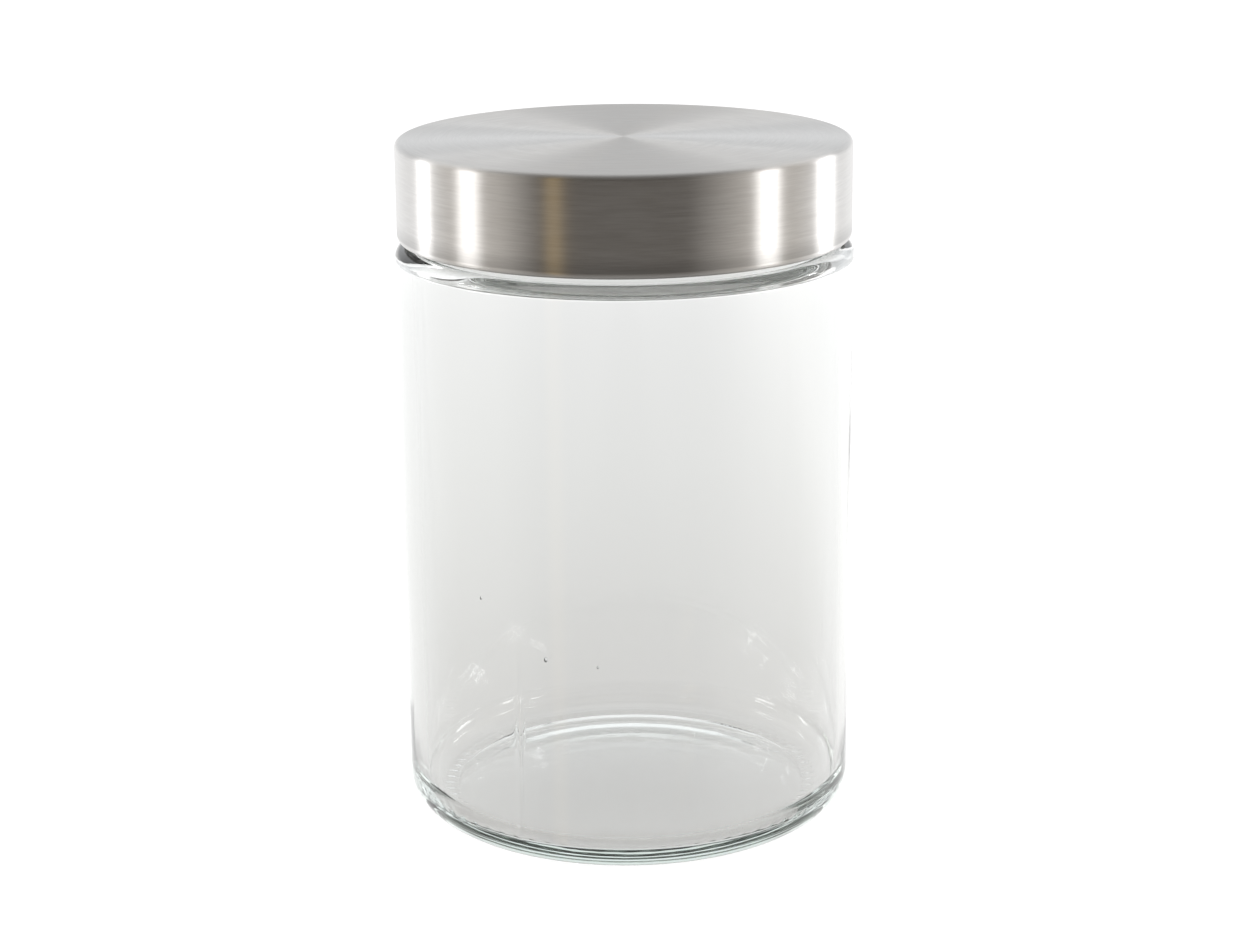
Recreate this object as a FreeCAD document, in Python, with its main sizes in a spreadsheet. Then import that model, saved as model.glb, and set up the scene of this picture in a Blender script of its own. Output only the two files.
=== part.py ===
import FreeCAD, Part
import math
import os

import Sketcher

# A storage jar with a screw lid, empty, standing on its base.
# A clear glass jar of one piece carries a drawn steel lid. The lid is a steel
# shell with a rolled hem, a moulded liner that the hem holds in, and a flat
# seal that presses on the jar's rim. Millimetres, +Z up along the jar's axis,
# origin at the middle of the ring that the jar stands on.

# Driving dimensions: alias, value, what it measures.
DRIVING_SIZES = [
    ("body_diameter", 111.2, "outside of the jar's straight side"),
    ("jar_height", 165.0, "from the standing ring to the rim"),
    ("neck_height", 22.1, "from the top of the shoulder to the rim"),
    ("heel_radius", 9.3, "round between the side and the base"),
    ("bearing_width", 2.4, "flat ring that the jar stands on"),
    ("push_up", 4.0, "rise of the hollow under the base"),
    ("bearing_round", 1.2, "round between the standing ring and the hollow"),
    ("side_wall", 3.0, "glass of the straight side"),
    ("base_glass", 5.2, "height of the inner floor at its edge"),
    ("floor_rise", 3.2, "crown of the inner floor"),
    ("floor_round", 7.0, "inside corner between floor and side"),
    ("shoulder_radius", 2.7, "round at the top of the side"),
    ("shoulder_land", 1.4, "flat between the two shoulder rounds"),
    ("neck_root", 1.2, "round between the shoulder and the neck"),
    ("shoulder_glass", 2.9, "glass under the shoulder"),
    ("inner_shoulder", 1.1, "round inside the shoulder, at the side"),
    ("mouth_foot", 2.0, "round inside the shoulder, below the mouth"),
    ("neck_wall", 3.2, "glass of the neck"),
    ("rim_round", 1.0, "rounds on both sides of the rim"),
    ("thread_gap", 2.5, "ring between neck and liner that the threads fill"),
    ("liner_wall", 1.7, "liner's skirt"),
    ("liner_clearance", 0.1, "between the liner's skirt and the steel"),
    ("liner_top", 1.5, "liner's disc"),
    ("liner_root", 0.8, "inside corner between the liner's disc and skirt"),
    ("steel", 0.4, "sheet of the lid's shell"),
    ("lid_corner", 1.5, "outside round at the lid's top edge"),
    ("hem_radius", 0.8, "outside of the rolled hem"),
    ("hem_leg", 0.5, "straight end of the hem, which holds the liner"),
    ("lid_gap", 1.65, "between the hem and the shoulder"),
    ("seal_thickness", 2.0, "seal between rim and liner"),
    ("seal_groove", 0.7, "depth of the liner's groove for the seal"),
    ("seal_inside", 0.9, "how far the seal reaches into the mouth"),
    ("seal_outside", 0.4, "how far the seal reaches past the neck"),
    ("seal_clearance", 0.1, "between the seal and its groove's sides"),
    ("seal_round", 0.3, "rounds on the seal's lower edges"),
]

# How far a cut runs past the rim, and the least flat left between two rounds.
CUT_OVERRUN = 5.0
ROUND_MARGIN = 0.05

# The most that the round below the mouth takes of the room inside the shoulder.
MOUTH_FOOT_SHARE = 0.6

# Sizes that follow from the driving ones, in the order in which they build up.
FOLLOWING_SIZES = [
    ("body_radius", "sizes.body_diameter / 2"),
    ("bearing_outer", "body_radius - sizes.heel_radius"),
    ("bearing_inner", "bearing_outer - sizes.bearing_width"),
    ("side_inner", "body_radius - sizes.side_wall"),
    ("floor_edge", "side_inner - sizes.floor_round"),
    ("floor_round_end", "sizes.base_glass + sizes.floor_round"),
    ("floor_peak", "sizes.base_glass + sizes.floor_rise"),
    ("shoulder_height", "sizes.jar_height - sizes.neck_height"),
    ("shoulder_inside", "shoulder_height - sizes.shoulder_glass"),
    ("neck_radius", "body_radius - sizes.shoulder_radius - sizes.shoulder_land - sizes.neck_root"),
    ("mouth_radius", "neck_radius - sizes.neck_wall"),
    ("seal_bore", "mouth_radius - sizes.seal_inside"),
    ("seal_rim", "neck_radius + sizes.seal_outside"),
    ("groove_bore", "seal_bore - sizes.seal_clearance"),
    ("groove_rim", "seal_rim + sizes.seal_clearance"),
    ("seal_top", "sizes.jar_height + sizes.seal_thickness"),
    ("liner_underside", "seal_top - sizes.seal_groove"),
    ("liner_topside", "liner_underside + sizes.liner_top"),
    ("liner_inner", "neck_radius + sizes.thread_gap"),
    ("liner_outer", "liner_inner + sizes.liner_wall"),
    ("lid_radius", "liner_outer + sizes.liner_clearance + sizes.steel"),
    ("lid_topside", "liner_topside + sizes.steel"),
    ("hem_centre", "shoulder_height + sizes.lid_gap + sizes.hem_radius"),
    ("hem_end", "hem_centre + sizes.hem_leg"),
    ("above_rim", f"sizes.jar_height + {CUT_OVERRUN}"),
    ("inner_shoulder_room", f"side_inner - mouth_radius - {ROUND_MARGIN}"),
    ("mouth_foot_fit", f"min(sizes.mouth_foot; inner_shoulder_room * {MOUTH_FOOT_SHARE})"),
    ("inner_shoulder_fit", "min(sizes.inner_shoulder; inner_shoulder_room - mouth_foot_fit)"),
    ("liner_corner", "sizes.lid_corner - sizes.steel + sizes.liner_clearance"),
    ("hem_bore", "lid_radius - 2 * sizes.hem_radius"),
    ("lid_inner_corner", "sizes.lid_corner - sizes.steel"),
]

AXIS = "axis"
GROUND = "ground"
TOLERANCE = 1e-4

# How sketch constraints call a line's ends, an arc's centre, the origin and the two axes.
START = 1
END = 2
CENTRE = 3
ORIGIN = (-1, 1)
GROUND_LINE = -1
AXIS_LINE = -2


def make_sizes(doc):
    """Put the driving dimensions in the sheet and bind what follows from them."""
    sheet = doc.addObject("Spreadsheet::Sheet", "sizes")
    for row, (alias, size, meaning) in enumerate(DRIVING_SIZES, start=1):
        sheet.set(f"A{row}", alias)
        sheet.set(f"B{row}", str(size))
        sheet.setAlias(f"B{row}", alias)
        sheet.set(f"C{row}", meaning)
    doc.recompute()
    follow = doc.addObject("App::VarSet", "follow")
    for alias, formula in FOLLOWING_SIZES:
        follow.addProperty("App::PropertyFloat", alias)
        follow.setExpression(alias, formula)
    doc.recompute()


def value(doc, name):
    """The number behind a name such as sizes.steel or follow.neck_radius."""
    if name in (AXIS, GROUND):
        return 0.0
    owner, alias = name.split(".")
    return float(getattr(doc.getObject(owner), alias))


def new_body(doc, label):
    body = doc.addObject("PartDesign::Body", label)
    body.Label = label
    body.Placement = FreeCAD.Placement()
    return body


def new_sketch(body, name):
    """A sketch on the body's upright plane: x is the radius, y is the height."""
    sketch = body.newObject("Sketcher::SketchObject", name)
    for plane in body.Origin.OriginFeatures:
        if plane.Role == "XZ_Plane":
            sketch.AttachmentSupport = [(plane, "")]
    sketch.MapMode = "FlatFace"
    return sketch


def line(start, end):
    return Part.LineSegment(FreeCAD.Vector(*start, 0), FreeCAD.Vector(*end, 0))


def arc(middle, radius, start_angle, end_angle):
    """Arc that runs anticlockwise between two angles in degrees."""
    circle = Part.Circle(FreeCAD.Vector(*middle, 0), FreeCAD.Vector(0, 0, 1), radius)
    return Part.ArcOfCircle(circle, math.radians(start_angle), math.radians(end_angle))


def constrain(sketch, kind, *targets):
    sketch.addConstraint(Sketcher.Constraint(kind, *targets))


def bind(doc, sketch, kind, targets, name):
    """Add a dimension to the sketch and tie it to a named size."""
    index = sketch.addConstraint(Sketcher.Constraint(kind, *targets, value(doc, name)))
    label = f"{name.split('.')[1]}_{index}"
    sketch.renameConstraint(index, label)
    sketch.setExpression(f"Constraints.{label}", name)


def bind_side(doc, sketch, side, start, end):
    """Hold a straight side upright or level at its named radius or height."""
    if start[0] == end[0] == AXIS:
        constrain(sketch, "PointOnObject", side, START, AXIS_LINE)
        constrain(sketch, "PointOnObject", side, END, AXIS_LINE)
    elif start[1] == end[1] == GROUND:
        constrain(sketch, "PointOnObject", side, START, GROUND_LINE)
        constrain(sketch, "PointOnObject", side, END, GROUND_LINE)
    elif start[0] == end[0]:
        constrain(sketch, "Vertical", side)
        bind(doc, sketch, "DistanceX", (*ORIGIN, side, START), start[0])
    else:
        constrain(sketch, "Horizontal", side)
        bind(doc, sketch, "DistanceY", (*ORIGIN, side, START), start[1])


def draw_outline(doc, sketch, corners, floor=None):
    """Draw a closed outline through corners given by the names of their radius and height.

    Its sides are upright or level. A floor starts the outline: the crown is an
    arc about the axis, it meets the round at its edge smoothly, and that round
    runs on into the first side. The last side then comes down the axis to the
    crown's peak.
    """
    ends = corners[1:] + [(AXIS, floor["peak"]) if floor else corners[0]]
    sides = []
    for start, end in zip(corners, ends):
        spots = [(value(doc, radius), value(doc, height)) for radius, height in (start, end)]
        sides.append(sketch.addGeometry(line(*spots), False))
    for side, next_side in zip(sides, sides[1:]):
        constrain(sketch, "Coincident", side, END, next_side, START)
    for side, start, end in zip(sides, corners, ends):
        bind_side(doc, sketch, side, start, end)
    if floor:
        add_floor(doc, sketch, floor, sides[0], sides[-1])
    else:
        constrain(sketch, "Coincident", sides[-1], END, sides[0], START)


def add_floor(doc, sketch, floor, first_side, axis_side):
    """Close an outline with a crowned floor and the round between its edge and the first side."""
    edge = value(doc, floor["edge"])
    low = value(doc, floor["low"])
    peak = value(doc, floor["peak"])
    edge_round = value(doc, floor["round"])
    rise = peak - low
    crown_radius = (edge ** 2 + rise ** 2 - 2 * rise * edge_round) / (2 * rise)
    slope = math.degrees(math.asin(edge / (crown_radius + edge_round)))
    crown = sketch.addGeometry(arc((0, peak - crown_radius), crown_radius, 90 - slope, 90), False)
    rounding = sketch.addGeometry(
        arc((edge, low + edge_round), edge_round, -90 - slope, floor["round_end"]), False)
    constrain(sketch, "Coincident", axis_side, END, crown, END)
    constrain(sketch, "PointOnObject", crown, CENTRE, AXIS_LINE)
    constrain(sketch, "Tangent", crown, START, rounding, START)
    constrain(sketch, "Tangent", rounding, END, first_side, START)
    bind(doc, sketch, "DistanceY", (*ORIGIN, crown, END), floor["peak"])
    bind(doc, sketch, "Radius", (rounding,), floor["round"])
    if floor["low"] == GROUND:
        bind(doc, sketch, "DistanceX", (*ORIGIN, rounding, CENTRE), floor["edge"])
    else:
        bind(doc, sketch, "DistanceY", (*ORIGIN, rounding, CENTRE), floor["round_height"])


def turn(body, kind, name, sketch):
    """Turn a sketch once round the jar's axis, as a solid or as a cut."""
    feature = body.newObject(kind, name)
    feature.Profile = sketch
    feature.ReferenceAxis = (sketch, ["V_Axis"])
    feature.Angle = 360
    return feature


def hollow_out(doc, body, name, sketch):
    """Cut a turned sketch out of the body and make sure that it took material away."""
    doc.recompute()
    before = body.Shape.Volume
    groove = turn(body, "PartDesign::Groove", name, sketch)
    doc.recompute()
    if groove.Shape.Volume > before - TOLERANCE:
        raise RuntimeError(f"{name} cuts nothing")


def round_edges(doc, body, name, circles, radius):
    """Round the circular edges at the named radii and heights."""
    doc.recompute()
    base = body.Tip
    edges = []
    for circle_radius, circle_height in circles:
        wanted = (value(doc, circle_radius), value(doc, circle_height))
        for number, edge in enumerate(base.Shape.Edges, start=1):
            if edge.Degenerated or not isinstance(edge.Curve, Part.Circle):
                continue
            found = (edge.Curve.Radius, edge.Curve.Center.z)
            if abs(edge.Curve.Axis.z) > 0.5 and math.dist(found, wanted) < TOLERANCE:
                edges.append(f"Edge{number}")
    if len(edges) != len(circles):
        raise RuntimeError(f"{name} finds {len(edges)} of {len(circles)} edges")
    fillet = body.newObject("PartDesign::Fillet", name)
    fillet.Base = (base, edges)
    fillet.setExpression("Radius", radius)
    doc.recompute()


def make_jar(doc):
    """The glass jar: a turned blank with a hollow under its base, hollowed from the mouth."""
    body = new_body(doc, "glass_jar")
    outline = new_sketch(body, "jar_outline")
    corners = [
        ("follow.bearing_inner", GROUND),
        ("follow.body_radius", GROUND),
        ("follow.body_radius", "follow.shoulder_height"),
        ("follow.neck_radius", "follow.shoulder_height"),
        ("follow.neck_radius", "sizes.jar_height"),
        (AXIS, "sizes.jar_height"),
    ]
    push_up = {
        "edge": "follow.bearing_inner",
        "low": GROUND,
        "peak": "sizes.push_up",
        "round": "sizes.bearing_round",
        "round_end": -90,
    }
    draw_outline(doc, outline, corners, push_up)
    turn(body, "PartDesign::Revolution", "jar_blank", outline)
    body_foot = ("follow.body_radius", GROUND)
    body_top = ("follow.body_radius", "follow.shoulder_height")
    neck_foot = ("follow.neck_radius", "follow.shoulder_height")
    round_edges(doc, body, "heel", [body_foot], "sizes.heel_radius")
    round_edges(doc, body, "shoulder", [body_top], "sizes.shoulder_radius")
    round_edges(doc, body, "neck_foot", [neck_foot], "sizes.neck_root")

    cavity = new_sketch(body, "cavity_outline")
    corners = [
        ("follow.side_inner", "follow.floor_round_end"),
        ("follow.side_inner", "follow.shoulder_inside"),
        ("follow.mouth_radius", "follow.shoulder_inside"),
        ("follow.mouth_radius", "follow.above_rim"),
        (AXIS, "follow.above_rim"),
    ]
    inner_floor = {
        "edge": "follow.floor_edge",
        "low": "sizes.base_glass",
        "peak": "follow.floor_peak",
        "round": "sizes.floor_round",
        "round_end": 0,
        "round_height": "follow.floor_round_end",
    }
    draw_outline(doc, cavity, corners, inner_floor)
    hollow_out(doc, body, "cavity", cavity)
    side_top = ("follow.side_inner", "follow.shoulder_inside")
    mouth_foot = ("follow.mouth_radius", "follow.shoulder_inside")
    round_edges(doc, body, "inner_shoulder", [side_top], "follow.inner_shoulder_fit")
    round_edges(doc, body, "mouth_foot", [mouth_foot], "follow.mouth_foot_fit")
    rim = [
        ("follow.neck_radius", "sizes.jar_height"),
        ("follow.mouth_radius", "sizes.jar_height"),
    ]
    round_edges(doc, body, "rim", rim, "sizes.rim_round")
    return body


def draw_shell_section(doc, sketch):
    """Section of the drawn sheet: top, corner, skirt and the hem rolled inwards and up."""
    steel = value(doc, "sizes.steel")
    outer = value(doc, "follow.lid_radius")
    topside = value(doc, "follow.lid_topside")
    corner = value(doc, "sizes.lid_corner")
    hem = value(doc, "sizes.hem_radius")
    hem_height = value(doc, "follow.hem_centre")
    leg_end = value(doc, "follow.hem_end")
    bore = value(doc, "follow.hem_bore")
    corner_x = outer - corner
    corner_y = topside - corner
    corner_middle = (corner_x, corner_y)
    hem_middle = (outer - hem, hem_height)

    pieces = {
        "top": line((0, topside), (corner_x, topside)),
        "corner": arc(corner_middle, corner, 0, 90),
        "skirt": line((outer, corner_y), (outer, hem_height)),
        "hem": arc(hem_middle, hem, 180, 360),
        "leg": line((bore, hem_height), (bore, leg_end)),
        "leg_end": line((bore, leg_end), (bore + steel, leg_end)),
        "inner_leg": line((bore + steel, leg_end), (bore + steel, hem_height)),
        "inner_hem": arc(hem_middle, hem - steel, 180, 360),
        "inner_skirt": line((outer - steel, hem_height), (outer - steel, corner_y)),
        "inner_corner": arc(corner_middle, corner - steel, 0, 90),
        "inner_top": line((corner_x, topside - steel), (0, topside - steel)),
        "middle": line((0, topside - steel), (0, topside)),
    }
    number = {name: sketch.addGeometry(piece, False) for name, piece in pieces.items()}

    for first, first_end, second, second_end in (
        ("top", END, "corner", END),
        ("corner", START, "skirt", START),
        ("skirt", END, "hem", END),
        ("hem", START, "leg", START),
        ("inner_leg", END, "inner_hem", START),
        ("inner_hem", END, "inner_skirt", START),
        ("inner_skirt", END, "inner_corner", START),
        ("inner_corner", END, "inner_top", START),
    ):
        constrain(sketch, "Tangent", number[first], first_end, number[second], second_end)
    for first, first_end, second, second_end in (
        ("leg", END, "leg_end", START),
        ("leg_end", END, "inner_leg", START),
        ("inner_top", END, "middle", START),
        ("middle", END, "top", START),
        ("corner", CENTRE, "inner_corner", CENTRE),
        ("hem", CENTRE, "inner_hem", CENTRE),
    ):
        constrain(sketch, "Coincident", number[first], first_end, number[second], second_end)
    constrain(sketch, "Horizontal", number["top"])
    constrain(sketch, "Horizontal", number["leg_end"])
    constrain(sketch, "Vertical", number["skirt"])
    constrain(sketch, "Vertical", number["leg"])
    constrain(sketch, "PointOnObject", number["middle"], START, AXIS_LINE)
    constrain(sketch, "PointOnObject", number["middle"], END, AXIS_LINE)
    bind(doc, sketch, "Radius", (number["corner"],), "sizes.lid_corner")
    bind(doc, sketch, "Radius", (number["inner_corner"],), "follow.lid_inner_corner")
    bind(doc, sketch, "Radius", (number["hem"],), "sizes.hem_radius")
    bind(doc, sketch, "DistanceX", (*ORIGIN, number["skirt"], START), "follow.lid_radius")
    bind(doc, sketch, "DistanceY", (*ORIGIN, number["top"], START), "follow.lid_topside")
    bind(doc, sketch, "DistanceY", (*ORIGIN, number["hem"], CENTRE), "follow.hem_centre")
    bind(doc, sketch, "DistanceY", (*ORIGIN, number["leg"], END), "follow.hem_end")


def make_shell(doc):
    """The lid's steel shell: one drawn sheet whose hem is rolled in under the liner."""
    body = new_body(doc, "lid_shell")
    section = new_sketch(body, "shell_section")
    draw_shell_section(doc, section)
    turn(body, "PartDesign::Revolution", "drawn_shell", section)
    return body


def make_liner(doc):
    """The moulded liner: a disc with a groove for the seal and a skirt round the neck."""
    body = new_body(doc, "lid_liner")
    outline = new_sketch(body, "liner_outline")
    draw_outline(doc, outline, [
        (AXIS, "follow.liner_underside"),
        ("follow.groove_bore", "follow.liner_underside"),
        ("follow.groove_bore", "follow.seal_top"),
        ("follow.groove_rim", "follow.seal_top"),
        ("follow.groove_rim", "follow.liner_underside"),
        ("follow.liner_inner", "follow.liner_underside"),
        ("follow.liner_inner", "follow.hem_end"),
        ("follow.liner_outer", "follow.hem_end"),
        ("follow.liner_outer", "follow.liner_topside"),
        (AXIS, "follow.liner_topside"),
    ])
    turn(body, "PartDesign::Revolution", "liner_moulding", outline)
    top_edge = ("follow.liner_outer", "follow.liner_topside")
    root_edge = ("follow.liner_inner", "follow.liner_underside")
    round_edges(doc, body, "liner_corner", [top_edge], "follow.liner_corner")
    round_edges(doc, body, "liner_root", [root_edge], "sizes.liner_root")
    return body


def make_seal(doc):
    """The flat seal, which sits in the liner's groove and on the jar's rim."""
    body = new_body(doc, "lid_seal")
    outline = new_sketch(body, "seal_outline")
    draw_outline(doc, outline, [
        ("follow.seal_bore", "sizes.jar_height"),
        ("follow.seal_rim", "sizes.jar_height"),
        ("follow.seal_rim", "follow.seal_top"),
        ("follow.seal_bore", "follow.seal_top"),
    ])
    turn(body, "PartDesign::Revolution", "seal_ring", outline)
    lower_edges = [
        ("follow.seal_bore", "sizes.jar_height"),
        ("follow.seal_rim", "sizes.jar_height"),
    ]
    round_edges(doc, body, "seal_rounds", lower_edges, "sizes.seal_round")
    return body


def check(doc, bodies):
    """Stop if any object failed or any sub-part isn't one valid solid."""
    doc.recompute()
    for item in doc.Objects:
        if "Invalid" in item.State or "Error" in item.State:
            raise RuntimeError(f"{item.Name} did not compute")
    for body in bodies:
        if body.Shape.isNull() or not body.Shape.isValid() or len(body.Shape.Solids) != 1:
            raise RuntimeError(f"{body.Label} is not one valid solid")


def main():
    doc = FreeCAD.newDocument("storage_jar")
    make_sizes(doc)
    bodies = [make_jar(doc), make_shell(doc), make_liner(doc), make_seal(doc)]
    check(doc, bodies)
    os.makedirs("parts", exist_ok=True)
    for body in bodies:
        body.Shape.exportStep(f"parts/{body.Label}.step")
        print(body.Label, "volume", round(body.Shape.Volume, 1))


main()
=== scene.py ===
import math

import bmesh
import bpy
from mathutils import Matrix, Vector, noise


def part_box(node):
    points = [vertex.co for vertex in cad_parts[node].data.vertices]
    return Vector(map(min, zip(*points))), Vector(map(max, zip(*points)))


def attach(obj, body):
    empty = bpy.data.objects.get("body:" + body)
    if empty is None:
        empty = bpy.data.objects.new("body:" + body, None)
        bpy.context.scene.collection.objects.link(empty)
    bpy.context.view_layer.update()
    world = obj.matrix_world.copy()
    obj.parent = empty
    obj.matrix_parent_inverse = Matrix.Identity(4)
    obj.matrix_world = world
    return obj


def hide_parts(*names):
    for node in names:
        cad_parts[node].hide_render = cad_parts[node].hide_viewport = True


# An empty storage jar of clear glass with a brushed steel screw lid.
# The glass is turned from its section and then made as uneven as pressed glass
# is. The lid's shell, liner and seal are turned too, fine enough for reflections
# to stay smooth. Sections are in millimetres, objects in metres.

MM = 0.001
TURN_STEPS = 576
LID_STEPS = 512


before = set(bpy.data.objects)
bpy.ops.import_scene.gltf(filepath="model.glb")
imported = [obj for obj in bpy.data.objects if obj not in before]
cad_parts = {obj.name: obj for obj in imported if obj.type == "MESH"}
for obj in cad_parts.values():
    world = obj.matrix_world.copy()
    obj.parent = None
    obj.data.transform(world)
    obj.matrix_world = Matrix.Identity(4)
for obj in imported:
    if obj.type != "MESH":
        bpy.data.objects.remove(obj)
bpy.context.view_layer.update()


# ---------------------------------------------------------------- sections

def arc(middle, radius, start, end, steps):
    """Points along an arc of a section, from one angle to another in degrees."""
    points = []
    for step in range(steps + 1):
        angle = math.radians(start + (end - start) * step / steps)
        points.append((middle[0] + radius * math.cos(angle), middle[1] + radius * math.sin(angle)))
    return points


def straight(start, end, steps):
    """Points along a straight part of a section."""
    points = []
    for step in range(steps + 1):
        share = step / steps
        points.append((start[0] + (end[0] - start[0]) * share, start[1] + (end[1] - start[1]) * share))
    return points


def crown(edge, low, peak, edge_round, steps):
    """A dome about the axis, from its middle out to where it meets the round at its edge."""
    rise = peak - low
    radius = (edge ** 2 + rise ** 2 - 2 * rise * edge_round) / (2 * rise)
    slope = math.degrees(math.asin(edge / (radius + edge_round)))
    return arc((0, peak - radius), radius, 90, 90 - slope, steps), slope


def joined(*runs):
    """One section out of several runs, with the shared ends kept once."""
    points = []
    for run in runs:
        for point in run:
            if not points or math.dist(points[-1], point) > 1e-6:
                points.append(point)
    return points


def turned(points, steps, closed=False):
    """Turn a section once round the jar's axis, an eighth of a turn and seven copies of it."""
    bm = bmesh.new()
    verts = [bm.verts.new((radius * MM, 0, height * MM)) for radius, height in points]
    for first, second in zip(verts, verts[1:]):
        bm.edges.new((first, second))
    if closed:
        bm.edges.new((verts[-1], verts[0]))
    eighth = math.tau / 8
    bmesh.ops.spin(bm, geom=bm.verts[:] + bm.edges[:], cent=(0, 0, 0), axis=(0, 0, 1),
                   angle=eighth, steps=steps // 8)
    sector = bm.verts[:] + bm.edges[:] + bm.faces[:]
    for count in range(1, 8):
        copied = bmesh.ops.duplicate(bm, geom=sector)["geom"]
        corners = [item for item in copied if isinstance(item, bmesh.types.BMVert)]
        turn = Matrix.Rotation(eighth * count, 3, "Z")
        bmesh.ops.rotate(bm, verts=corners, cent=(0, 0, 0), matrix=turn)
    bmesh.ops.remove_doubles(bm, verts=bm.verts[:], dist=1e-6)
    bmesh.ops.recalc_face_normals(bm, faces=bm.faces[:])
    return bm


def piece(name, bm, material, node):
    """Finish a mesh as a smooth piece that stands for a CAD node."""
    mesh = bpy.data.meshes.new(name)
    bm.to_mesh(mesh)
    bm.free()
    mesh.polygons.foreach_set("use_smooth", [True] * len(mesh.polygons))
    made = bpy.data.objects.new(name, mesh)
    bpy.context.scene.collection.objects.link(made)
    mesh.materials.append(material)
    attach(made, "root")
    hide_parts(node)
    return made


def smooth(share):
    """Ease a share between 0 and 1."""
    share = min(max(share, 0.0), 1.0)
    return share * share * (3 - 2 * share)


# ---------------------------------------------------------------- node helpers

def add(tree, kind, **settings):
    """Add a node and set its properties."""
    node = tree.nodes.new(kind)
    for key, setting in settings.items():
        setattr(node, key, setting)
    return node


def feed(tree, socket, source):
    """Give a socket a number, a colour or another node's output."""
    if isinstance(source, bpy.types.NodeSocket):
        tree.links.new(source, socket)
    else:
        socket.default_value = source


def maths(tree, operation, first, second=None, third=None):
    """A sum, product or other operation on numbers or outputs."""
    node = add(tree, "ShaderNodeMath", operation=operation)
    for socket, source in zip(node.inputs, (first, second, third)):
        if source is not None:
            feed(tree, socket, source)
    return node.outputs[0]


def spread(tree, source, low, high, to_low, to_high):
    """Ease a source from one range into another, and hold it at the ends."""
    node = add(tree, "ShaderNodeMapRange", interpolation_type="SMOOTHSTEP")
    for name, number in zip(("From Min", "From Max", "To Min", "To Max"), (low, high, to_low, to_high)):
        node.inputs[name].default_value = number
    feed(tree, node.inputs["Value"], source)
    return node.outputs["Result"]


def blend(tree, share, first, second):
    """Mix two colours by a share between 0 and 1."""
    node = add(tree, "ShaderNodeMix", data_type="RGBA")
    feed(tree, node.inputs[0], share)
    feed(tree, node.inputs[6], first)
    feed(tree, node.inputs[7], second)
    return node.outputs[2]


def ramp(tree, source, stops):
    """A colour ramp from (place, colour) stops."""
    node = add(tree, "ShaderNodeValToRGB")
    elements = node.color_ramp.elements
    while len(elements) < len(stops):
        elements.new(0.5)
    for element, (place, colour) in zip(elements, stops):
        element.position = place
    for element, (place, colour) in zip(elements, stops):
        element.color = (*colour, 1.0)
    feed(tree, node.inputs[0], source)
    return node.outputs[0]


def grain(tree, vector, scale, detail=2.0, roughness=0.5):
    """Soft noise between 0 and 1."""
    node = add(tree, "ShaderNodeTexNoise")
    feed(tree, node.inputs["Vector"], vector)
    node.inputs["Scale"].default_value = scale
    node.inputs["Detail"].default_value = detail
    node.inputs["Roughness"].default_value = roughness
    return node.outputs["Fac"]


def new_material(name):
    """A material with its node tree and its main shader."""
    material = bpy.data.materials.new(name)
    material.use_nodes = True
    tree = material.node_tree
    shader = tree.nodes["Principled BSDF"]
    return material, tree, shader


# ---------------------------------------------------------------- materials

def clear_glass():
    """Clear glass with a faint green cast, ripples drawn upwards and a seam line low on the side."""
    material, tree, shader = new_material("clear_glass")
    place = add(tree, "ShaderNodeTexCoord").outputs["Object"]
    shader.inputs["Transmission Weight"].default_value = 1.0
    shader.inputs["IOR"].default_value = 1.5
    cloud = grain(tree, place, 30.0)
    surface = blend(tree, cloud, (0.994, 0.998, 0.996, 1.0), (1.0, 1.0, 1.0, 1.0))
    feed(tree, shader.inputs["Base Color"], surface)
    feed(tree, shader.inputs["Roughness"], spread(tree, cloud, 0.35, 0.75, 0.0, 0.006))
    ripple = add(tree, "ShaderNodeBump")
    ripple.inputs["Strength"].default_value = 0.25
    ripple.inputs["Distance"].default_value = 0.0001
    stretched = add(tree, "ShaderNodeMapping")
    feed(tree, stretched.inputs["Vector"], place)
    stretched.inputs["Scale"].default_value = (1.0, 1.0, 0.22)
    feed(tree, ripple.inputs["Height"], grain(tree, stretched.outputs[0], 170.0, 1.5))
    parts = add(tree, "ShaderNodeSeparateXYZ")
    feed(tree, parts.inputs[0], place)
    away = maths(tree, "ABSOLUTE", maths(tree, "MULTIPLY_ADD", parts.outputs[0], math.cos(SEAM_TURN),
                                         maths(tree, "MULTIPLY", parts.outputs[1], math.sin(SEAM_TURN))))
    line = spread(tree, away, *SEAM_LINE, 1.0, 0.0)
    low = spread(tree, parts.outputs[2], *SEAM_LINE_START, 0.0, 1.0)
    high = spread(tree, parts.outputs[2], *SEAM_LINE_END, 1.0, 0.0)
    seam = add(tree, "ShaderNodeBump")
    seam.inputs["Strength"].default_value = 0.6
    seam.inputs["Distance"].default_value = 0.0001
    feed(tree, seam.inputs["Height"], maths(tree, "MULTIPLY", line, maths(tree, "MULTIPLY", low, high)))
    feed(tree, ripple.inputs["Normal"], seam.outputs["Normal"])
    feed(tree, shader.inputs["Normal"], ripple.outputs["Normal"])
    tint = add(tree, "ShaderNodeVolumeAbsorption")
    tint.inputs["Color"].default_value = (0.70, 0.88, 0.80, 1.0)
    tint.inputs["Density"].default_value = 5.0
    output = tree.nodes["Material Output"]
    tree.links.new(tint.outputs[0], output.inputs["Volume"])
    return material


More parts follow.
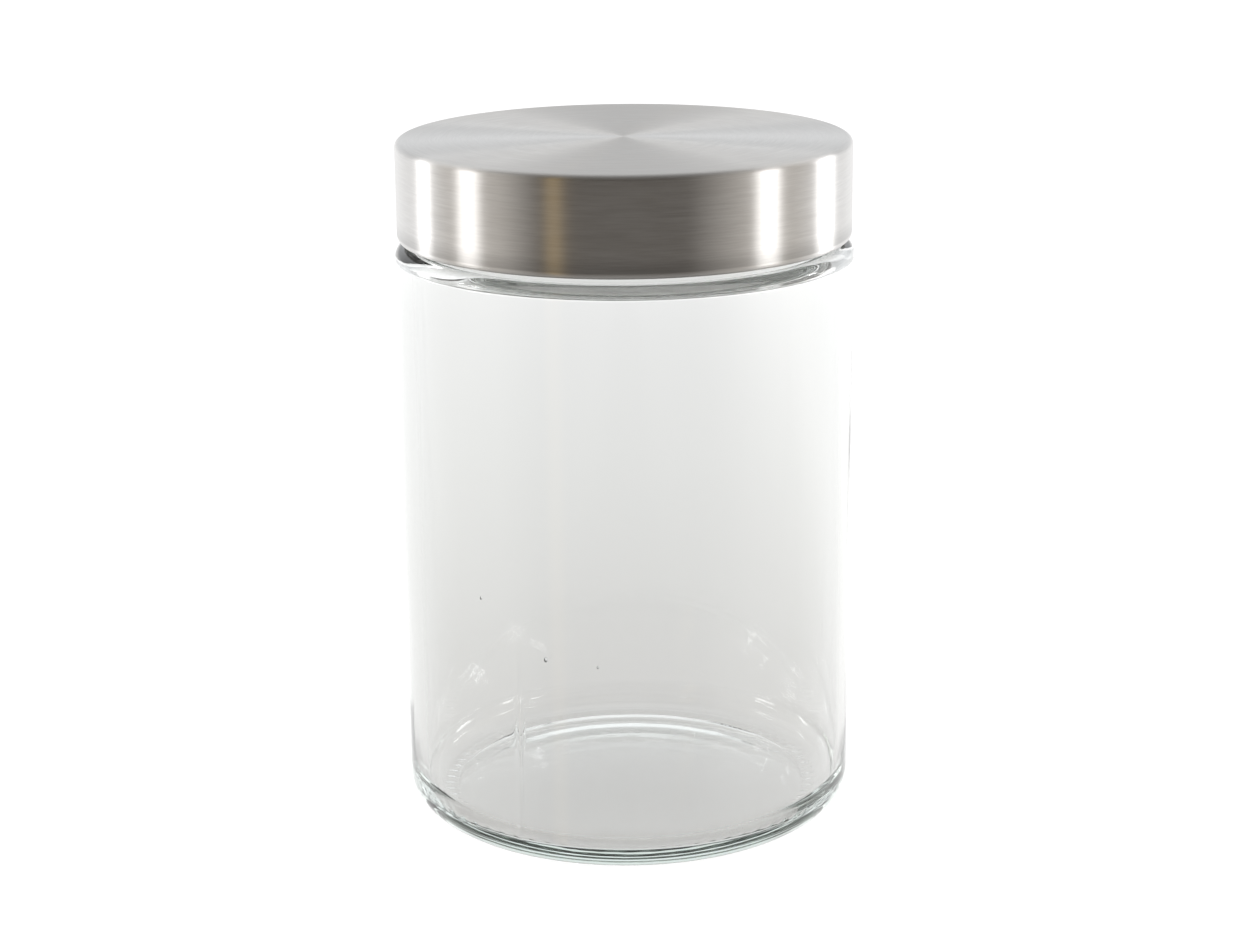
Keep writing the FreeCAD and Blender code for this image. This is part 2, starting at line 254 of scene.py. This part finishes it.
def brush_lines(tree):
    """Lines that run round the axis: along the skirt's height and out from the top's middle."""
    place = add(tree, "ShaderNodeTexCoord").outputs["Object"]
    parts = add(tree, "ShaderNodeSeparateXYZ")
    feed(tree, parts.inputs[0], place)
    across = parts.outputs[0]
    along = parts.outputs[1]
    reach = maths(tree, "SQRT", maths(tree, "ADD", maths(tree, "MULTIPLY", across, across),
                                      maths(tree, "MULTIPLY_ADD", along, along, 1e-8)))
    run = maths(tree, "SUBTRACT", reach, parts.outputs[2])
    lines = []
    for around, count in ((7.0, 2600.0), (4.5, 1100.0), (1.2, 240.0)):
        vector = add(tree, "ShaderNodeCombineXYZ")
        feed(tree, vector.inputs[0], maths(tree, "MULTIPLY", maths(tree, "DIVIDE", across, reach), around))
        feed(tree, vector.inputs[1], maths(tree, "MULTIPLY", maths(tree, "DIVIDE", along, reach), around))
        feed(tree, vector.inputs[2], maths(tree, "MULTIPLY", run, count))
        lines.append(grain(tree, vector.outputs[0], 1.0, 3.0, 0.6))
    return lines, place


def brushed_steel():
    """Steel brushed round the axis, with painted shade on the skirt just above the hem."""
    material, tree, shader = new_material("brushed_steel")
    (fine, coarse, wide), place = brush_lines(tree)
    shader.inputs["Metallic"].default_value = 1.0
    shader.inputs["Anisotropic"].default_value = 1.0
    shader.inputs["Anisotropic Rotation"].default_value = 0.25
    around = add(tree, "ShaderNodeTangent", direction_type="RADIAL", axis="Z")
    feed(tree, shader.inputs["Tangent"], around.outputs[0])
    both = maths(tree, "MULTIPLY_ADD", coarse, 0.5, maths(tree, "MULTIPLY", fine, 0.5))
    tone = spread(tree, both, 0.3, 0.7, 0.0, 1.0)
    colour = blend(tree, tone, (0.56, 0.55, 0.54, 1.0), (0.68, 0.672, 0.66, 1.0))
    cloudy = blend(tree, spread(tree, wide, 0.3, 0.75, 0.0, 0.35), colour, (0.60, 0.585, 0.565, 1.0))
    parts = add(tree, "ShaderNodeSeparateXYZ")
    feed(tree, parts.inputs[0], place)
    # Painted shade: the skirt is blended towards black just above the hem's roll, fading out upwards.
    low = (LID_BOTTOM + HEM_RISE) * MM
    painted_skirt_shade = maths(tree, "MULTIPLY", spread(tree, parts.outputs[2], low - 0.0002, low + 0.0002, 0.0, 1.0),
                      spread(tree, parts.outputs[2], low, low + PAINTED_SHADE_HEIGHT * MM, 0.26, 0.0))
    feed(tree, shader.inputs["Base Color"], blend(tree, painted_skirt_shade, cloudy, (0.0, 0.0, 0.0, 1.0)))
    feed(tree, shader.inputs["Roughness"], spread(tree, both, 0.3, 0.7, 0.31, 0.37))
    scratch = add(tree, "ShaderNodeBump")
    scratch.inputs["Strength"].default_value = 0.12
    scratch.inputs["Distance"].default_value = 0.00004
    feed(tree, scratch.inputs["Height"], both)
    feed(tree, shader.inputs["Normal"], scratch.outputs["Normal"])
    return material


def liner_plastic():
    """Satin off-white plastic with a fine moulded skin."""
    material, tree, shader = new_material("liner_plastic")
    place = add(tree, "ShaderNodeTexCoord").outputs["Object"]
    cloud = grain(tree, place, 60.0, 3.0)
    colour = blend(tree, cloud, (0.80, 0.805, 0.79, 1.0), (0.90, 0.90, 0.885, 1.0))
    feed(tree, shader.inputs["Base Color"], colour)
    feed(tree, shader.inputs["Roughness"], spread(tree, cloud, 0.3, 0.7, 0.38, 0.5))
    skin = add(tree, "ShaderNodeBump")
    skin.inputs["Strength"].default_value = 0.15
    skin.inputs["Distance"].default_value = 0.00005
    feed(tree, skin.inputs["Height"], grain(tree, place, 1500.0))
    feed(tree, shader.inputs["Normal"], skin.outputs["Normal"])
    return material


def seal_rubber():
    """Soft pale rubber, matt."""
    material, tree, shader = new_material("seal_rubber")
    place = add(tree, "ShaderNodeTexCoord").outputs["Object"]
    cloud = grain(tree, place, 90.0, 3.0)
    colour = blend(tree, cloud, (0.74, 0.74, 0.72, 1.0), (0.84, 0.84, 0.82, 1.0))
    feed(tree, shader.inputs["Base Color"], colour)
    feed(tree, shader.inputs["Roughness"], spread(tree, cloud, 0.3, 0.7, 0.6, 0.78))
    skin = add(tree, "ShaderNodeBump")
    skin.inputs["Strength"].default_value = 0.2
    skin.inputs["Distance"].default_value = 0.00008
    feed(tree, skin.inputs["Height"], grain(tree, place, 2200.0))
    feed(tree, shader.inputs["Normal"], skin.outputs["Normal"])
    return material


# ---------------------------------------------------------------- the glass

JAR_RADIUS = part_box("glass_jar")[1].x / MM
JAR_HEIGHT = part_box("glass_jar")[1].z / MM
HEEL = 9.3
STANDING_WIDTH = 2.4
PUSH_UP = 4.0
STANDING_ROUND = 1.2
SIDE_WALL = 3.0
BASE_GLASS = 5.2
FLOOR_RISE = 3.2
FLOOR_ROUND = 7.0
NECK_HEIGHT = 22.1
SHOULDER = 2.7
SHOULDER_LAND = 1.4
NECK_ROOT = 1.2
SHOULDER_GLASS = 2.9
INNER_SHOULDER = 1.1
MOUTH_FOOT = 2.0
NECK_WALL = 3.2
RIM_ROUND = 1.0

SHOULDER_TOP = JAR_HEIGHT - NECK_HEIGHT
SIDE_INNER = JAR_RADIUS - SIDE_WALL
STANDING_OUTER = JAR_RADIUS - HEEL
STANDING_INNER = STANDING_OUTER - STANDING_WIDTH
NECK_RADIUS = JAR_RADIUS - SHOULDER - SHOULDER_LAND - NECK_ROOT
MOUTH_RADIUS = NECK_RADIUS - NECK_WALL

# The bore sits off centre, so the wall is thicker on the left.
BORE_SHIFT = 0.6
RIPPLE = 0.07
SEAM_TURN = math.radians(-28)
SEAM_HEIGHT = 0.11
SEAM_WIDTH = 0.55
# The seam rises from its start and fades out below its end.
SEAM_START = 5.0
SEAM_EASE = 6.0
SEAM_END = 75.0
SEAM_FADE = 45.0
# The fine line along it, in metres: its half width, and where it starts and ends.
SEAM_LINE = (0.0001, 0.0006)
SEAM_LINE_START = (0.008, 0.02)
SEAM_LINE_END = (0.035, 0.06)
KNURLS = 72
KNURL_DEPTH = 0.10
KNURL_TOP = 1.2
# Bubbles: degrees from the front, height, radius.
SEEDS = (
    (-39.0, 66.0, 0.28),
    (-20.6, 53.5, 0.4),
    (-7.4, 52.6, 0.25),
)
# Three short slanting threads, a third of a turn apart, and the liner's under them.
THREAD_TURN = math.radians(-152)
THREAD_HALF = 0.065
THREAD_HEIGHT = 157.0
THREAD_SLOPE = 11.0
THREAD_STEP = 3.0
THREAD_RISE = 1.3
THREAD_WIDTH = 0.95


def glass_section():
    """Half the glass's section, from the middle underneath, up the outside and down the inside."""
    hollow, hollow_slope = crown(STANDING_INNER, 0.0, PUSH_UP, STANDING_ROUND, 14)
    floor_edge = SIDE_INNER - FLOOR_ROUND
    floor_end = BASE_GLASS + FLOOR_ROUND
    floor, floor_slope = crown(floor_edge, BASE_GLASS, BASE_GLASS + FLOOR_RISE, FLOOR_ROUND, 14)
    under = SHOULDER_TOP - SHOULDER_GLASS
    outer_shoulder = (JAR_RADIUS - SHOULDER, SHOULDER_TOP - SHOULDER)
    root = (NECK_RADIUS + NECK_ROOT, SHOULDER_TOP + NECK_ROOT)
    rim_height = JAR_HEIGHT - RIM_ROUND
    return joined(
        hollow,
        arc((STANDING_INNER, STANDING_ROUND), STANDING_ROUND, -90 - hollow_slope, -90, 4),
        straight((STANDING_INNER, 0), (STANDING_OUTER, 0), 3),
        arc((STANDING_OUTER, HEEL), HEEL, -90, 0, 18),
        straight((JAR_RADIUS, HEEL), (JAR_RADIUS, SHOULDER_TOP - SHOULDER), 12),
        arc(outer_shoulder, SHOULDER, 0, 90, 12),
        arc(root, NECK_ROOT, -90, -180, 5),
        straight((NECK_RADIUS, root[1]), (NECK_RADIUS, rim_height), 30),
        arc((NECK_RADIUS - RIM_ROUND, rim_height), RIM_ROUND, 0, 90, 4),
        arc((MOUTH_RADIUS + RIM_ROUND, rim_height), RIM_ROUND, 90, 180, 4),
        arc((MOUTH_RADIUS + MOUTH_FOOT, under + MOUTH_FOOT), MOUTH_FOOT, 180, 270, 10),
        arc((SIDE_INNER - INNER_SHOULDER, under - INNER_SHOULDER), INNER_SHOULDER, 90, 0, 10),
        straight((SIDE_INNER, under - INNER_SHOULDER), (SIDE_INNER, floor_end), 14),
        arc((floor_edge, floor_end), FLOOR_ROUND, 0, -90 - floor_slope, 16),
        floor[::-1],
    )


def thread_rise(angle, height):
    """How far a thread stands out at an angle round the neck and a height."""
    third = math.tau / 3
    run = math.remainder(angle - THREAD_TURN, third) / math.tau
    ends = smooth((THREAD_HALF - abs(run)) / 0.02)
    offset = (height - THREAD_HEIGHT - THREAD_SLOPE * run) / THREAD_WIDTH
    return THREAD_RISE * ends * math.exp(-offset ** 4)


def make_uneven(bm):
    """Give the turned glass its off-centre bore, ripples, seams, knurls and thread."""
    for vert in bm.verts:
        radius = math.hypot(vert.co.x, vert.co.y) / MM
        height = vert.co.z / MM
        if radius < 1e-3:
            continue
        angle = math.atan2(vert.co.y, vert.co.x)
        new_radius = radius
        new_height = height
        inside = radius < SIDE_INNER + 0.05 and height > BASE_GLASS - 0.1
        if inside and radius > SIDE_INNER - FLOOR_ROUND and height < SHOULDER_TOP - SHOULDER_GLASS + 0.01:
            reach = 1.0
            if height < BASE_GLASS + FLOOR_ROUND:
                reach = (radius - SIDE_INNER + FLOOR_ROUND) / FLOOR_ROUND
            elif height > SHOULDER_TOP - SHOULDER_GLASS - INNER_SHOULDER:
                ring = SIDE_INNER - MOUTH_RADIUS - MOUTH_FOOT
                reach = smooth((radius - SIDE_INNER + ring) / ring)
            spot = Vector((math.cos(angle) * 1.6, math.sin(angle) * 1.6, height / 45.0))
            streak = Vector((math.cos(angle) * 5.0, math.sin(angle) * 5.0, height / 160.0))
            uneven = noise.noise(spot) * RIPPLE + noise.noise(streak) * RIPPLE * 0.35
            new_radius -= reach * (BORE_SHIFT * (1 - math.cos(angle)) + uneven)
        elif radius > STANDING_OUTER and SEAM_START < height < SHOULDER_TOP - SHOULDER:
            for turn in (SEAM_TURN - math.pi / 2, SEAM_TURN + math.pi / 2):
                away = math.remainder(angle - turn, math.tau) * radius / SEAM_WIDTH
                reach = smooth((height - SEAM_START) / SEAM_EASE) * smooth((SEAM_END - height) / SEAM_FADE)
                new_radius += SEAM_HEIGHT * reach * (math.exp(-away ** 2) - 1.0)
        elif height < KNURL_TOP and STANDING_INNER - 0.4 < radius < STANDING_OUTER + 3.2:
            reach = smooth((radius - STANDING_INNER - 0.2) / 0.8)
            reach *= smooth((STANDING_OUTER + 2.6 - radius) / 1.0)
            wave = math.cos(angle * KNURLS)
            new_height += KNURL_DEPTH * reach * smooth((wave - 0.35) / 0.5)
        elif abs(radius - NECK_RADIUS) < 0.02 and height > SHOULDER_TOP + NECK_ROOT:
            new_radius += thread_rise(angle, height)
        scale = new_radius / radius
        vert.co = Vector((vert.co.x * scale, vert.co.y * scale, new_height * MM))


def add_seeds(bm):
    """Tiny bubbles caught in the middle of the wall."""
    middle = JAR_RADIUS - SIDE_WALL / 2
    for degrees, height, size in SEEDS:
        turn = math.radians(degrees)
        spot = Vector((middle * math.sin(turn), -middle * math.cos(turn), height)) * MM
        made = bmesh.ops.create_icosphere(bm, subdivisions=2, radius=size * MM,
                                          matrix=Matrix.Translation(spot) @ Matrix.Diagonal((1, 1, 1.6, 1)))
        faces = {face for vert in made["verts"] for face in vert.link_faces}
        bmesh.ops.reverse_faces(bm, faces=list(faces))


def make_glass():
    """The jar's glass, turned, made uneven and given its bubbles."""
    bm = turned(glass_section(), TURN_STEPS)
    make_uneven(bm)
    add_seeds(bm)
    return piece("glass_jar_clear", bm, clear_glass(), "glass_jar")


# ---------------------------------------------------------------- the lid

LID_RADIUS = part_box("lid_shell")[1].x / MM
LID_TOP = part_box("lid_shell")[1].z / MM
LID_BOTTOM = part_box("lid_shell")[0].z / MM
STEEL = 0.4
LID_CORNER = 1.5
HEM = 0.8
HEM_LEG = 0.5
# The roll outside is taller than it is deep.
HEM_RISE = 1.35
# How far up the skirt the painted shade above the hem reaches, in millimetres.
PAINTED_SHADE_HEIGHT = 4.5
LINER_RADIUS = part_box("lid_liner")[1].x / MM
LINER_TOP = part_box("lid_liner")[1].z / MM
LINER_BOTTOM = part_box("lid_liner")[0].z / MM
LINER_WALL = 1.7
LINER_DISC = 1.5
LINER_ROOT = 0.8
LINER_TOP_GAP = 0.1
SEAL_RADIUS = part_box("lid_seal")[1].x / MM
SEAL_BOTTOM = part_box("lid_seal")[0].z / MM
SEAL_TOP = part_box("lid_seal")[1].z / MM
SEAL_LIP = 0.9
SEAL_BORE = MOUTH_RADIUS - SEAL_LIP
SEAL_ROUND = 0.3
SEAL_ROOM = 0.1
# A hair of air over the rim, so that glass and seal don't share a face.
SEAL_LIFT = 0.01


def make_shell():
    """The drawn steel shell, with its hem rolled in and up under the liner."""
    corner = (LID_RADIUS - LID_CORNER, LID_TOP - LID_CORNER)
    hem = (LID_RADIUS - HEM, LID_BOTTOM + HEM)
    leg_top = hem[1] + HEM_LEG
    bore = LID_RADIUS - 2 * HEM
    roll = [
        (radius, LID_BOTTOM + (height - LID_BOTTOM) * HEM_RISE / HEM)
        for radius, height in arc(hem, HEM, 0, -90, 12)
    ]
    points = joined(
        straight((0, LID_TOP), (corner[0], LID_TOP), 12),
        arc(corner, LID_CORNER, 90, 0, 10),
        straight((LID_RADIUS, corner[1]), (LID_RADIUS, LID_BOTTOM + HEM_RISE), 8),
        roll,
        arc(hem, HEM, -90, -180, 8),
        straight((bore, hem[1]), (bore, leg_top), 1),
        straight((bore, leg_top), (bore + STEEL, leg_top), 1),
        straight((bore + STEEL, leg_top), (bore + STEEL, hem[1]), 1),
        arc(hem, HEM - STEEL, -180, 0, 12),
        straight((LID_RADIUS - STEEL, hem[1]), (LID_RADIUS - STEEL, corner[1]), 4),
        arc(corner, LID_CORNER - STEEL, 0, 90, 6),
        straight((corner[0], LID_TOP - STEEL), (0, LID_TOP - STEEL), 6),
    )
    bm = turned(points, LID_STEPS)
    return piece("lid_shell_brushed", bm, brushed_steel(), "lid_shell")


def make_liner():
    """The moulded liner, with the thread inside its skirt that runs on the jar's."""
    inner = LINER_RADIUS - LINER_WALL
    underside = LINER_TOP - LINER_DISC
    groove_bore = SEAL_BORE - SEAL_ROOM
    groove_rim = SEAL_RADIUS + SEAL_ROOM
    groove_floor = SEAL_TOP
    top_round = LID_CORNER - STEEL + LINER_TOP_GAP
    points = joined(
        straight((0, LINER_TOP), (LINER_RADIUS - top_round, LINER_TOP), 4),
        arc((LINER_RADIUS - top_round, LINER_TOP - top_round), top_round, 90, 0, 6),
        straight((LINER_RADIUS, LINER_TOP - top_round), (LINER_RADIUS, LINER_BOTTOM), 6),
        straight((LINER_RADIUS, LINER_BOTTOM), (inner, LINER_BOTTOM), 2),
        straight((inner, LINER_BOTTOM), (inner, underside - LINER_ROOT), 40),
        arc((inner - LINER_ROOT, underside - LINER_ROOT), LINER_ROOT, 0, 90, 5),
        straight((inner - LINER_ROOT, underside), (groove_rim, underside), 1),
        straight((groove_rim, underside), (groove_rim, groove_floor), 1),
        straight((groove_rim, groove_floor), (groove_bore, groove_floor), 2),
        straight((groove_bore, groove_floor), (groove_bore, underside), 1),
        straight((groove_bore, underside), (0, underside), 6),
    )
    bm = turned(points, LID_STEPS)
    for vert in bm.verts:
        radius = math.hypot(vert.co.x, vert.co.y) / MM
        height = vert.co.z / MM
        if abs(radius - inner) < 0.02 and LINER_BOTTOM + 0.5 < height < underside - LINER_ROOT:
            angle = math.atan2(vert.co.y, vert.co.x)
            scale = 1 - thread_rise(angle, height + THREAD_STEP) / radius
            vert.co = Vector((vert.co.x * scale, vert.co.y * scale, vert.co.z))
    made = piece("lid_liner_moulded", bm, liner_plastic(), "lid_liner")
    sharpen(made)
    return made


def make_seal():
    """The flat seal between the rim and the liner."""
    points = joined(
        arc((SEAL_RADIUS - SEAL_ROUND, SEAL_BOTTOM + SEAL_ROUND), SEAL_ROUND, -90, 0, 4),
        straight((SEAL_RADIUS, SEAL_BOTTOM + SEAL_ROUND), (SEAL_RADIUS, SEAL_TOP), 2),
        straight((SEAL_RADIUS, SEAL_TOP), (SEAL_BORE, SEAL_TOP), 3),
        straight((SEAL_BORE, SEAL_TOP), (SEAL_BORE, SEAL_BOTTOM + SEAL_ROUND), 2),
        arc((SEAL_BORE + SEAL_ROUND, SEAL_BOTTOM + SEAL_ROUND), SEAL_ROUND, 180, 270, 4),
    )
    points = [(radius, height + SEAL_LIFT) for radius, height in points]
    bm = turned(points, LID_STEPS, closed=True)
    made = piece("lid_seal_ring", bm, seal_rubber(), "lid_seal")
    sharpen(made)
    return made


def sharpen(made):
    """Keep corners of more than 40 degrees crisp."""
    made.data.set_sharp_from_angle(angle=math.radians(40))


# ---------------------------------------------------------------- the studio

# Light round the jar by azimuth: 0 towards the camera, + to the right. The
# studio is dark in front and light behind, with windows and lamps at the sides.
FRONT = (0.052, 0.044, 0.037)
SIDE = (0.38, 0.36, 0.335)
BACK = (0.64, 0.64, 0.64)
WARM = (0.28, 0.205, 0.105)
SURROUNDINGS = (
    (-180, BACK),
    (-125, BACK),
    (-95, SIDE),
    (-66, SIDE),
    (-41, FRONT),
    (-37.5, WARM),
    (-33.5, WARM),
    (-30, FRONT),
    (32, FRONT),
    (66, SIDE),
    (95, SIDE),
    (125, BACK),
    (180, BACK),
)
# The same above the table's height behind the jar, which the lid's top shows.
HIGH_SIDE = (0.30, 0.30, 0.295)
HIGH_BACK = (0.44, 0.447, 0.454)
BEHIND = (
    (-180, HIGH_BACK),
    (-150, HIGH_BACK),
    (-120, HIGH_SIDE),
    (120, HIGH_SIDE),
    (150, HIGH_BACK),
    (180, HIGH_BACK),
)
WINDOWS = (
    (-91.5, 0.0),
    (-87, 0.8),
    (-79, 0.9),
    (-73.5, 0.0),
    (66, 0.0),
    (71, 1.0),
    (79.5, 1.0),
    (84, 0.0),
)
LAMPS = (
    (-124, 0.0),
    (-120, 1.0),
    (-114, 1.0),
    (-110, 0.0),
    (109, 0.0),
    (113, 1.0),
    (124, 1.0),
    (128, 0.0),
)
SURROUND_STRENGTH = 2.0
# Where the strips fade in and out, as sines of their height above the horizon.
WINDOW_BAND = (-0.17, -0.10, 0.10, 0.18)
WINDOW_STRENGTH = 7.5
LAMP_BAND = (-0.16, -0.10, 0.10, 0.18)
LAMP_STRENGTH = 6.5
# Small lamps that only polished glass mirrors: azimuth, elevation, half width, half height.
SPARKS = (
    (108, 16.5, 6.0, 1.7),
    (60, 19.0, 3.5, 1.3),
    (-80, 14.0, 5.0, 1.8),
    (-90, 17.5, 3.0, 1.2),
    (-113, 21.0, 5.0, 1.6),
)
SPARK_STRENGTH = 26.0
# Light that has met a dull surface is stronger by this many times its own strength.
SOFT_SHARE = 2.4
TABLE_TONE = (0.33, 0.325, 0.315, 1.0)
OVERHEAD_FRONT = (0.12, 0.118, 0.115, 1.0)
OVERHEAD_BACK = (0.58, 0.585, 0.59, 1.0)
PLAIN_WHITE = (1.05, 1.05, 1.05, 1.0)

# The floor as the camera sees it, and, by metres from the jar, as light that goes on through the glass does:
# a painted shadow, darkest next to the jar.
FLOOR_WHITE = (0.97, 0.97, 0.97, 1.0)
FLOOR_PAINTED_SHADOW = (
    (0.0, (0.51, 0.503, 0.493)),
    (0.06, (0.535, 0.528, 0.518)),
    (0.15, (0.585, 0.582, 0.572)),
    (0.33, (0.65, 0.65, 0.643)),
    (0.55, (0.70, 0.70, 0.70)),
    (1.0, (0.83, 0.83, 0.83)),
)
FLOOR_RADIUS = 4.0
# Painted light: the floor seen through glass is brighter to the right of the jar and a little to the left.
RIGHT_PAINTED_LIGHT = 1.22
LEFT_PAINTED_LIGHT = 1.04

CAMERA_PLACE = (0.0, -0.6593, 0.2720)
CAMERA_PITCH = math.radians(15.82)
CAMERA_YAW = math.radians(-0.03)
CAMERA_ROLL = math.radians(-0.49)
CAMERA_LENS = 79.5


def by_azimuth(stops):
    """Stops by azimuth in degrees, as places along a ramp."""
    return [((azimuth + 180) / 360, colour) for azimuth, colour in stops]


def scaled(tree, vector, factor):
    """A vector or colour times a number."""
    node = add(tree, "ShaderNodeVectorMath", operation="SCALE")
    feed(tree, node.inputs[0], vector)
    feed(tree, node.inputs["Scale"], factor)
    return node.outputs[0]


def vector_sum(tree, first, second):
    """Two vectors or colours added."""
    node = add(tree, "ShaderNodeVectorMath", operation="ADD")
    feed(tree, node.inputs[0], first)
    feed(tree, node.inputs[1], second)
    return node.outputs[0]


def bright_strips(tree, place, height, strips, band, strength):
    """Strips of light at their azimuths, between soft lower and upper ends."""
    shares = by_azimuth([(azimuth, (share,) * 3) for azimuth, share in strips])
    rise = spread(tree, height, band[0], band[1], 0.0, 1.0)
    fall = spread(tree, height, band[2], band[3], 1.0, 0.0)
    reach = maths(tree, "MULTIPLY", maths(tree, "MULTIPLY", rise, fall), strength)
    return scaled(tree, ramp(tree, place, shares), reach)


def spark_light(tree, turn, height):
    """The sum of the small lamps in a direction given by its azimuth and height."""
    total = 0.0
    for azimuth, elevation, width, rise in SPARKS:
        aside = maths(tree, "SUBTRACT", turn, math.radians(azimuth))
        aside = maths(tree, "DIVIDE", aside, math.radians(width))
        above = maths(tree, "SUBTRACT", height, math.sin(math.radians(elevation)))
        above = maths(tree, "DIVIDE", above, math.radians(rise))
        away = maths(tree, "MULTIPLY_ADD", aside, aside, maths(tree, "MULTIPLY", above, above))
        total = maths(tree, "ADD", spread(tree, away, 0.35, 1.0, SPARK_STRENGTH, 0.0), total)
    return total


def light_the_studio():
    """White to the camera; to the object a pale room with a dark front and bright windows."""
    world = bpy.data.worlds.new("studio_light")
    bpy.context.scene.world = world
    world.use_nodes = True
    tree = world.node_tree
    background = tree.nodes["Background"]
    direction = add(tree, "ShaderNodeTexCoord").outputs["Generated"]
    parts = add(tree, "ShaderNodeSeparateXYZ")
    feed(tree, parts.inputs[0], direction)
    front = maths(tree, "MULTIPLY", parts.outputs[1], -1.0)
    turn = maths(tree, "ARCTAN2", parts.outputs[0], front)
    place = maths(tree, "MULTIPLY_ADD", turn, 1 / math.tau, 0.5)
    height = parts.outputs[2]
    room = ramp(tree, place, by_azimuth(SURROUNDINGS))
    behind = ramp(tree, place, by_azimuth(BEHIND))
    far_back = spread(tree, parts.outputs[1], 0.5, 0.75, 0.0, 1.0)
    above_table = maths(tree, "MULTIPLY", far_back, spread(tree, height, -0.02, 0.1, 0.0, 1.0))
    room = blend(tree, above_table, room, behind)
    table = spread(tree, height, -0.75, -0.48, 1.0, 0.0)
    room = blend(tree, table, room, TABLE_TONE)
    to_back = spread(tree, parts.outputs[1], -0.05, 0.4, 0.0, 1.0)
    overhead = blend(tree, to_back, OVERHEAD_FRONT, OVERHEAD_BACK)
    room = blend(tree, spread(tree, height, 0.5, 0.8, 0.0, 1.0), room, overhead)
    windows = bright_strips(tree, place, height, WINDOWS, WINDOW_BAND, WINDOW_STRENGTH)
    lamps = bright_strips(tree, place, height, LAMPS, LAMP_BAND, LAMP_STRENGTH)
    base = scaled(tree, room, SURROUND_STRENGTH)
    total = vector_sum(tree, base, vector_sum(tree, windows, lamps))
    path = add(tree, "ShaderNodeLightPath")
    dull = maths(tree, "MINIMUM", path.outputs["Diffuse Depth"], 1.0)
    total = scaled(tree, total, maths(tree, "MULTIPLY_ADD", dull, SOFT_SHARE, 1.0))
    not_dull = maths(tree, "SUBTRACT", 1.0, dull)
    polished = maths(tree, "MULTIPLY", path.outputs["Is Singular Ray"], not_dull)
    sparks = maths(tree, "MULTIPLY", spark_light(tree, turn, height), polished)
    total = vector_sum(tree, total, scaled(tree, (1.0, 1.0, 1.0), sparks))
    camera_ray = path.outputs["Is Camera Ray"]
    feed(tree, background.inputs["Color"], blend(tree, camera_ray, total, PLAIN_WHITE))
    background.inputs["Strength"].default_value = 1.0


def lay_floor():
    """A wide pale floor: plain to the camera; where it shows through glass, darker with a painted shadow
    round the jar and painted light to the sides.
    """
    bm = bmesh.new()
    bmesh.ops.create_circle(bm, cap_ends=True, segments=96, radius=FLOOR_RADIUS)
    mesh = bpy.data.meshes.new("studio_floor")
    bm.to_mesh(mesh)
    bm.free()
    floor = bpy.data.objects.new("studio_floor", mesh)
    bpy.context.scene.collection.objects.link(floor)
    floor.visible_glossy = False
    material = bpy.data.materials.new("pale_floor")
    material.use_nodes = True
    tree = material.node_tree
    tree.nodes.remove(tree.nodes["Principled BSDF"])
    place = add(tree, "ShaderNodeTexCoord").outputs["Object"]
    reach = add(tree, "ShaderNodeVectorMath", operation="LENGTH")
    feed(tree, reach.inputs[0], place)
    # Painted shadow of the jar on the floor, darkest next to it.
    painted_floor_light = ramp(tree, reach.outputs["Value"], FLOOR_PAINTED_SHADOW)
    parts = add(tree, "ShaderNodeSeparateXYZ")
    feed(tree, parts.inputs[0], place)
    # Painted light to the right of the jar and, a little, to its left.
    right = spread(tree, parts.outputs[0], 0.03, 0.12, 1.0, RIGHT_PAINTED_LIGHT)
    left = spread(tree, parts.outputs[0], -0.12, -0.03, LEFT_PAINTED_LIGHT, 1.0)
    painted_floor_light = scaled(tree, painted_floor_light, maths(tree, "MULTIPLY", right, left))
    camera_ray = add(tree, "ShaderNodeLightPath").outputs["Is Camera Ray"]
    glow = add(tree, "ShaderNodeEmission")
    feed(tree, glow.inputs["Color"], blend(tree, camera_ray, painted_floor_light, FLOOR_WHITE))
    paint = add(tree, "ShaderNodeBsdfDiffuse")
    paint.inputs["Color"].default_value = (0.085, 0.085, 0.085, 1.0)
    both = add(tree, "ShaderNodeAddShader")
    tree.links.new(glow.outputs[0], both.inputs[0])
    tree.links.new(paint.outputs[0], both.inputs[1])
    tree.links.new(both.outputs[0], tree.nodes["Material Output"].inputs["Surface"])
    mesh.materials.append(material)


def place_camera():
    """At the height and distance from which the jar is seen."""
    camera = bpy.data.objects.new("camera", bpy.data.cameras.new("camera"))
    bpy.context.scene.collection.objects.link(camera)
    level = math.cos(CAMERA_PITCH)
    forward = Vector((math.sin(CAMERA_YAW) * level, math.cos(CAMERA_YAW) * level, -math.sin(CAMERA_PITCH)))
    right = Vector((math.cos(CAMERA_YAW), -math.sin(CAMERA_YAW), 0))
    up = right.cross(forward)
    tilted_right = math.cos(CAMERA_ROLL) * right + math.sin(CAMERA_ROLL) * up
    tilted_up = math.cos(CAMERA_ROLL) * up - math.sin(CAMERA_ROLL) * right
    turn = Matrix((tilted_right, tilted_up, -forward)).transposed().to_4x4()
    camera.matrix_world = Matrix.Translation(CAMERA_PLACE) @ turn
    camera.data.lens = CAMERA_LENS
    camera.data.sensor_width = 36.0
    camera.data.clip_start = 0.01
    camera.data.clip_end = 50.0
    bpy.context.scene.camera = camera


place_camera()
light_the_studio()
lay_floor()
make_glass()
make_shell()
make_liner()
make_seal()

scene = bpy.context.scene
scene.view_settings.view_transform = "Standard"
scene.view_settings.look = "None"
scene.cycles.max_bounces = 32
scene.cycles.transmission_bounces = 32
scene.cycles.glossy_bounces = 12
scene.cycles.use_denoising = True
